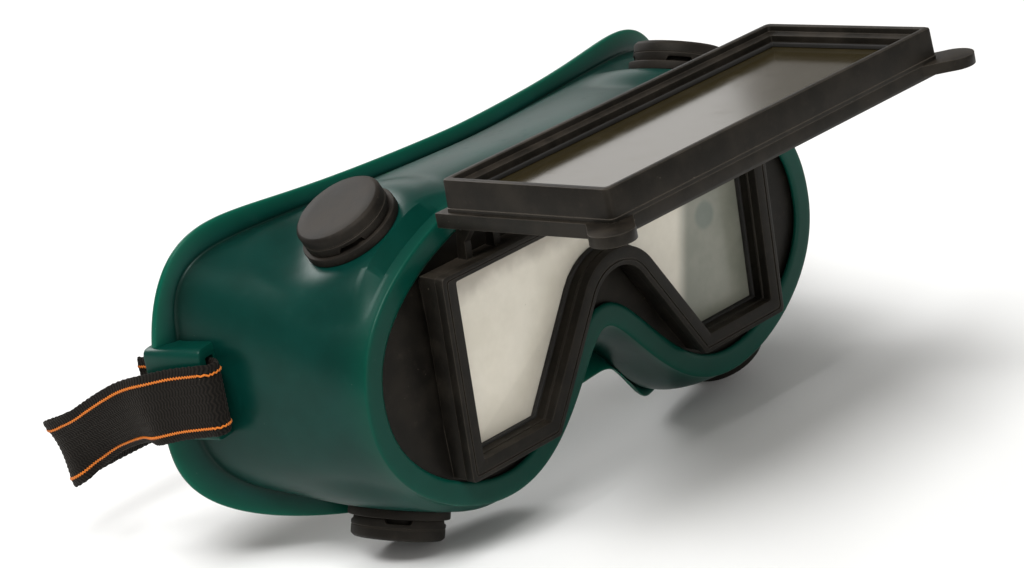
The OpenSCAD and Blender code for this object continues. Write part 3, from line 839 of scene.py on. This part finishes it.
def make_bezel():
    """The window's front ring with a groove near its outer edge and a deep inner wall."""
    def outline_at(inset):
        rise = RIM_RISE * smooth_step(inset, 0.6, RIM_W)
        return window_outline(inset, rise, max(0.5, 1.3 - 0.15 * inset))

    front, back = FRONT_Y, FRONT_Y + BEZEL_T
    profile = [(0, front + RING_BACK), (0, front + 0.35), (0.1, front + 0.1), (0.35, front),
               (1.15, front), (1.25, front + 0.28), (1.55, front + 0.28), (1.65, front),
               (RIM_W - 0.45, front), (RIM_W - 0.12, front + 0.12), (RIM_W, front + 0.45),
               (RIM_W, front + 2.3), (RIM_W + 0.22, front + 2.5), (RIM_W + 0.25, front + 2.75),
               (RIM_W, front + 3.0), (RIM_W + 0.1, back), (RIM_W / 2, back),
               (RIM_W / 2, front + RING_BACK)]
    points, faces = sweep(outline_at, profile)
    return link_mesh("bezel_ring", points, faces, BLACK, 40)


bezel = make_bezel()
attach(bezel, "goggles")
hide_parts("front_bezel")


# ---- the shade's box -----------------------------------------------------

def raise_shade(p):
    """Turns a closed point of the shade up to its rest place."""
    return HINGE + Matrix.Rotation(-RAISED, 3, "X") @ (Vector(p) - HINGE)


def make_tray():
    """The flip-up box: drafted walls, a rounded rim and a ledge that holds the filter."""
    def outline_at(inset):
        w, h = FLIP_W / 2 - inset, FLIP_H / 2 - inset
        return rounded([(-w, -h), (w, -h), (w, h), (-w, h)], max(0.35, 1.6 - 0.35 * inset), 6)

    front, back = FLIP_FRONT, FLIP_MID - 0.05
    profile = [(0, back), (0, back - 0.9), (0.12, back - 1.0), (0.12, back - 1.25),
               (0.3, front + 0.5), (0.42, front + 0.16), (0.75, front),
               (1.75, front), (2.05, front + 0.12), (2.15, front + 0.4), (2.25, front + 1.35),
               (2.55, front + 1.6), (3.8, front + 1.7), (4.1, front + 1.85),
               (FLIP_LEDGE_W, front + 2.15), (FLIP_LEDGE_W, FLIP_LEDGE_Y),
               (FLIP_WALL + 0.05, FLIP_LEDGE_Y), (FLIP_WALL, back)]
    points, faces = sweep(outline_at, profile)
    return link_mesh("shade_box", [raise_shade(p) for p in points], faces, SHADE_BLACK, 40)


tray = make_tray()
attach(tray, "shade")
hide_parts("flip_tray")


# ---- vent caps -----------------------------------------------------------

def make_cap(name, place):
    """A vent's cap: a flat top, a stepped skirt and four air slots."""
    turns = 144
    slots = [45 + 90 * k for k in range(4)]
    half_slot = math.degrees(SLOT_W / 2 / VENT_R)

    def lift(degrees):
        """How far the skirt's end is raised at this angle."""
        near = min(abs((degrees - s + 180) % 360 - 180) for s in slots)
        return SLOT_RISE * (1 - smooth_step(near, half_slot - 1, half_slot + 1))

    points = []
    for i in range(turns):
        degrees = 360 * i / turns
        up = lift(degrees)
        profile = [(0.01, 7.25), (7.5, 7.3), (10.05, 7.35), (10.3, 7.28), (10.82, 6.82),
                   (VENT_R, 6.5), (VENT_R, 4.72), (VENT_R - 0.12, 4.62), (VENT_R - 0.12, 4.46),
                   (VENT_R + 0.04, 4.36), (VENT_R + 0.06, 2.6 + up), (VENT_R - 0.1, 2.35 + up),
                   (9.6, 2.35 + up), (9.4, 2.6 + up), (9.4, 5.6), (0.01, 5.6)]
        a = math.radians(degrees)
        points.extend(place @ Vector((r * math.cos(a), r * math.sin(a), z)) for r, z in profile)
    faces = grid_faces(turns, len(profile))
    return link_mesh(f"vent_cap_shell_{name}", points, [tuple(reversed(f)) for f in faces],
                     VENT_BLACK, 38)


for name, place in VENTS.items():
    piece = make_cap(name, place)
    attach(piece, "goggles")
    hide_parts(f"vent_cap_{name}")
    dress(f"vent_base_{name}", VENT_BLACK, 0.25, 3)
    dress(f"vent_nut_{name}", VENT_BLACK, 0.2)


# ---- headband ------------------------------------------------------------

# Half of the band's middle line from the sewn tail to the back's middle:
# x, y, z of the middle line and the lean of the band's width in degrees
BAND_HALF = [
    (-91.1, 22.6, 0.5, 0), (-89.8, 15.8, 1, 0), (-88.8, 9.9, 1.4, 0), (-87.7, 4, 1.8, 0),
    (-87.3, 1.7, 2, 0), (-87.7, -0.2, 2.1, 1), (-89.3, -1.2, 2.2, 2), (-91.2, -0.9, 2.1, 1),
    (-92.2, 0.8, 2, 0), (-94.2, 9, 0.6, 0), (-96.2, 16.8, -1.4, -3),
    (-95, 26.2, -4.6, -23), (-95.2, 34.8, -8.6, -32), (-96.8, 42, -12.6, -28),
    (-97.6, 47.6, -15.8, -18), (-95, 52, -18.2, -10), (-89, 54.6, -19.2, -4),
    (-77, 55.5, -19.4, 0), (-50, 55.5, -19.4, 0)]
BAND = BAND_HALF + [(-x, y, z, lean) for x, y, z, lean in reversed(BAND_HALF)]


def spline(route, spacing):
    """Points on a smooth curve through the route, as lists of its values."""
    out = []
    for i in range(len(route) - 1):
        p0, p1 = route[max(i - 1, 0)], route[i]
        p2, p3 = route[i + 1], route[min(i + 2, len(route) - 1)]
        steps = max(2, round(math.dist(p1[:3], p2[:3]) / spacing))
        for k in range(steps):
            t = k / steps
            out.append([0.5 * (2 * b + (c - a) * t + (2 * a - 5 * b + 4 * c - d) * t * t
                               + (3 * b - a - 3 * c + d) * t ** 3)
                        for a, b, c, d in zip(p0, p1, p2, p3)])
    out.append(list(route[-1]))
    return out


class BandLine:
    """The band's middle line with its width and thickness directions."""

    def __init__(self, spacing):
        stations = spline(BAND, spacing)
        self.at = [Vector(s[:3]) for s in stations]
        self.up, self.out, self.length = [], [], [0]
        last = len(stations) - 1
        for i, station in enumerate(stations):
            ahead = (self.at[min(i + 1, last)] - self.at[max(i - 1, 0)]).normalized()
            upright = (Vector((0, 0, 1)) - ahead * ahead.z).normalized()
            side = ahead.cross(upright)
            lean = math.radians(station[3])
            up = upright * math.cos(lean) + side * math.sin(lean)
            self.up.append(up)
            self.out.append(ahead.cross(up))
            if i:
                self.length.append(self.length[-1] + (self.at[i] - self.at[i - 1]).length)

    def point(self, i, across, off):
        """A point beside station i: across the band's width and off its middle plane."""
        return self.at[i] + self.up[i] * across + self.out[i] * off


def make_band():
    """The knitted elastic: cords along its length and scalloped edges."""
    line = BandLine(BAND_STEP)
    cords = round(BAND_W / BAND_CORD)
    fine = 4
    half = BAND_W / 2
    points, marks = [], []
    for i, run in enumerate(line.length):
        wave = SCALLOP * math.sin(math.tau * run / SCALLOP_RUN)
        ring = []
        for face in (1, -1):
            for k in range(cords * fine + 1):
                across = half - k * BAND_W / (cords * fine)
                if face < 0:
                    across = -across
                edge = 1 - (abs(across) / half) ** 14
                cord = CORD_RELIEF * math.cos(math.tau * (across + half) / BAND_W * cords)
                full = BAND_T / 2 - BAND_EDGE_T / 2 - CORD_RELIEF
                off = face * (BAND_EDGE_T / 2 + full * edge - cord * edge)
                ring.append((across * (1 + wave / half * 0.8), off))
        points.extend(line.point(i, across, off) for across, off in ring)
        marks.extend((across, run) for across, off in ring)
    columns = 2 * (cords * fine + 1)
    rows = len(line.at)
    faces = grid_faces(rows, columns, close_rows=False)
    faces.append(list(range(columns)))
    faces.append([(rows - 1) * columns + j for j in reversed(range(columns))])
    band = link_mesh("elastic_band", points, faces, ELASTIC, 60)
    layer = band.data.uv_layers.new(name="UVMap")
    for loop in band.data.loops:
        layer.data[loop.index].uv = marks[loop.vertex_index]
    return band, line.length[-1]


def make_threads():
    """Four orange threads zigzag along the band, two on each face."""
    line = BandLine(THREAD_STEP)
    sides = 5
    points, faces = [], []
    for face in (1, -1):
        for row in (1, -1):
            start = len(points)
            for i in range(len(line.at)):
                across = row * (BAND_W / 2 - THREAD_IN) + THREAD_ZIGZAG * (-1) ** i
                for k in range(sides):
                    a = math.tau * k / sides
                    points.append(line.point(i, across + THREAD_R * math.cos(a),
                                             face * (BAND_T / 2 + THREAD_OUT)
                                             + THREAD_FLAT_R * math.sin(a)))
            rows = len(line.at)
            tube = grid_faces(rows, sides, close_rows=False)
            tube += [list(range(sides)), [(rows - 1) * sides + j for j in reversed(range(sides))]]
            faces.extend([start + v for v in f] for f in tube)
    return link_mesh("orange_threads", points, faces, THREAD, 60)


band, band_length = make_band()
threads = make_threads()
for piece in (band, threads):
    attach(piece, "goggles")
    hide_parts("headband")


# ---- strap slider --------------------------------------------------------

def make_slider():
    """A moulded sleeve with grip ribs that slides on the band."""
    low, high = (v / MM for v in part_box("strap_slider"))
    centre, size = (low + high) / 2, high - low
    reach = size.x / 2

    def outline_at(inset):
        w, h = size.y / 2 - inset, size.z / 2 - inset
        return rounded([(-w, -h), (w, -h), (w, h), (-w, h)], max(0.4, 1.7 - inset), 6)

    ribs, rib_depth, rib_steps = 4, 0.25, 24
    profile = [(0.5, -reach), (0.15, -reach + 0.15), (0, -reach + 0.5)]
    for k in range(rib_steps + 1):
        t = k / rib_steps
        depth = rib_depth * (1 - math.cos(math.tau * ribs * t)) / 2
        profile.append((depth, (2 * t - 1) * (reach - 1.2)))
    profile += [(0, reach - 0.5), (0.15, reach - 0.15), (0.5, reach),
                (1.75, reach), (2.05, reach - 0.3), (2.05, -reach + 0.3), (1.75, -reach)]
    points, faces = sweep(outline_at, profile)
    points = [centre + Vector((depth, y, z)) for y, depth, z in points]
    return link_mesh("band_slider", points, faces, VENT_BLACK, 45)


slider = make_slider()
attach(slider, "slider")
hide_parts("strap_slider")


# ---- CAD nodes that stay -------------------------------------------------

dress("front_housing", BLACK, 0.35, 3)
dress("flip_base", SHADE_BLACK, 0.3, 3)
dress("lens_seal", RUBBER, 0.15)
dress("filter_seal", RUBBER, 0.15)
dress("clear_lens", hazy_lens(), 0)
dress("shade_filter", dark_filter(), 0)
dress("filter_cover_plate", cover_plate(), 0)
STEEL = pin_steel()
for side in SIDES:
    dress(f"hinge_pin_{side}", STEEL, 0.2)


# ---- floor, lights and camera --------------------------------------------

FLOOR_R, FLOOR_GAP = 6000, 0.2


def make_floor():
    """A pale round floor under the object's lowest point."""
    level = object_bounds()[0].z / MM - FLOOR_GAP
    sides = 64
    points = [(FLOOR_R * math.cos(math.tau * i / sides), FLOOR_R * math.sin(math.tau * i / sides),
               level) for i in range(sides)]
    return link_mesh("floor", points, [list(range(sides))], pale_floor())


make_floor()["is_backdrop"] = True


def soft_box(name, at, target, size, power):
    """A rectangular light: its place, its aim, its width and height, and its watts."""
    light = bpy.data.lights.new(name, "AREA")
    light.shape = "RECTANGLE"
    light.size, light.size_y = size[0] * MM, size[1] * MM
    light.energy = power
    obj = bpy.data.objects.new(name, light)
    obj.location = Vector(at) * MM
    obj.rotation_euler = (Vector(target) - Vector(at)).to_track_quat("-Z", "Y").to_euler()
    bpy.context.scene.collection.objects.link(obj)


def make_world(colour, strength):
    """Even light from all round."""
    world = bpy.data.worlds.new("studio")
    world.use_nodes = True
    back = world.node_tree.nodes["Background"]
    back.inputs["Color"].default_value = (*colour, 1)
    back.inputs["Strength"].default_value = strength
    bpy.context.scene.world = world


make_world((1.0, 0.985, 0.96), 0.34)
soft_box("key_light", (-700, -300, 1300), (0, 0, 0), (900, 700), 24)
soft_box("back_light", (200, 1500, 900), (0, 0, 0), (900, 500), 14)
soft_box("fill_light", (-300, -1500, 300), (0, 0, 0), (900, 900), 4)
soft_box("filter_light", (805, 1230, 500), (22, -75, 47), (900, 600), 2.0)

CAMERA_AT = Vector((-614.8, -628.9, 309.4))
CAMERA_AZIMUTH, CAMERA_ELEVATION = math.radians(-44.78), math.radians(19.63)
CAMERA_ROLL = math.radians(8.79)
CAMERA_LENS, CAMERA_SENSOR = 135.1, 36


def make_camera():
    """The camera at the photograph's angle."""
    data = bpy.data.cameras.new("camera")
    data.lens = CAMERA_LENS
    data.sensor_width = CAMERA_SENSOR
    data.clip_start, data.clip_end = 0.05, 50
    camera = bpy.data.objects.new("camera", data)
    back = Vector((math.sin(CAMERA_AZIMUTH) * math.cos(CAMERA_ELEVATION),
                   -math.cos(CAMERA_AZIMUTH) * math.cos(CAMERA_ELEVATION),
                   math.sin(CAMERA_ELEVATION)))
    aim = (-back).to_track_quat("-Z", "Y").to_matrix() @ Matrix.Rotation(-CAMERA_ROLL, 3, "Z")
    camera.rotation_euler = aim.to_euler()
    camera.location = CAMERA_AT * MM
    bpy.context.scene.collection.objects.link(camera)
    bpy.context.scene.camera = camera


make_camera()
bpy.context.scene.view_settings.view_transform = "Standard"
